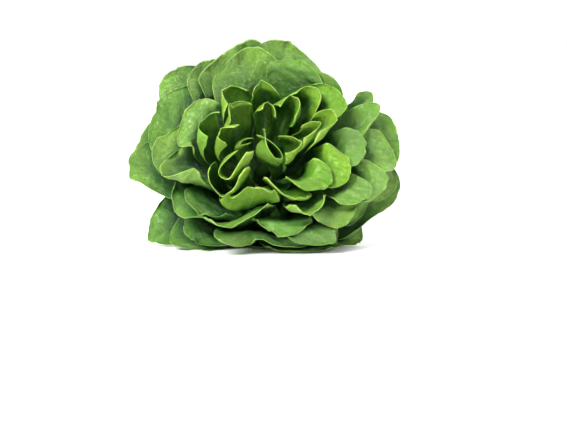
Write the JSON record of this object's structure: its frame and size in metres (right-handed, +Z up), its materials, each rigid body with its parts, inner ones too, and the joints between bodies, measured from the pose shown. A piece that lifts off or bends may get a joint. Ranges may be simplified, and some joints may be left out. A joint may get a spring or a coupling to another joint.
{
  "type": "head of lettuce",
  "caption": "Head of butter lettuce lying on its side: round, softly waved leaves in an open rosette round a short cut stem.",
  "frame": {"origin": "centre of the bounding box, on the surface that the head lies on", "axes": "+Z up; the open rosette faces -Y and a little upwards, the cut stem faces +Y; +X is to the right seen from the front"},
  "size_m": [0.2642, 0.179, 0.2019],
  "materials": {
    "leaf": "satin, mid green, with a paler rim and underside",
    "heart_leaf": "satin, light yellow-green",
    "stem": "matt, cream-white, moist at the cut"
  },
  "bodies": {
    "root": {"stem": "stem", "leaf_01": "heart_leaf", "leaf_02": "heart_leaf", "leaf_03": "heart_leaf", "leaf_04": "heart_leaf", "leaf_05": "heart_leaf", "leaf_06": "heart_leaf", "leaf_07": "heart_leaf", "leaf_08": "heart_leaf", "leaf_09": "heart_leaf", "leaf_10": "heart_leaf", "leaf_11": "heart_leaf", "leaf_12": "heart_leaf", "leaf_13": "heart_leaf", "leaf_14": "heart_leaf", "leaf_15": "heart_leaf", "leaf_16": "heart_leaf", "leaf_17": "heart_leaf", "leaf_18": "heart_leaf", "leaf_19": "heart_leaf", "leaf_20": "heart_leaf", "leaf_21": "leaf", "leaf_22": "leaf", "leaf_23": "leaf", "leaf_24": "leaf", "leaf_25": "leaf", "leaf_26": "leaf", "leaf_27": "leaf", "leaf_28": "leaf", "leaf_29": "leaf", "leaf_30": "leaf", "leaf_31": "leaf", "leaf_32": "leaf", "leaf_33": "leaf", "leaf_34": "leaf", "leaf_35": "leaf", "leaf_36": "leaf", "leaf_37": "leaf", "leaf_38": "leaf", "leaf_39": "leaf", "leaf_40": "leaf", "leaf_41": "leaf", "leaf_42": "leaf", "leaf_43": "leaf", "leaf_44": "leaf", "leaf_45": "leaf", "leaf_46": "leaf", "leaf_47": "leaf", "leaf_48": "leaf", "leaf_49": "leaf", "leaf_50": "leaf", "leaf_51": "leaf", "leaf_52": "leaf", "leaf_53": "leaf", "leaf_54": "leaf", "leaf_55": "leaf", "leaf_56": "leaf", "leaf_57": "leaf", "leaf_58": "leaf", "leaf_59": "leaf"}
  },
  "joints": []
}
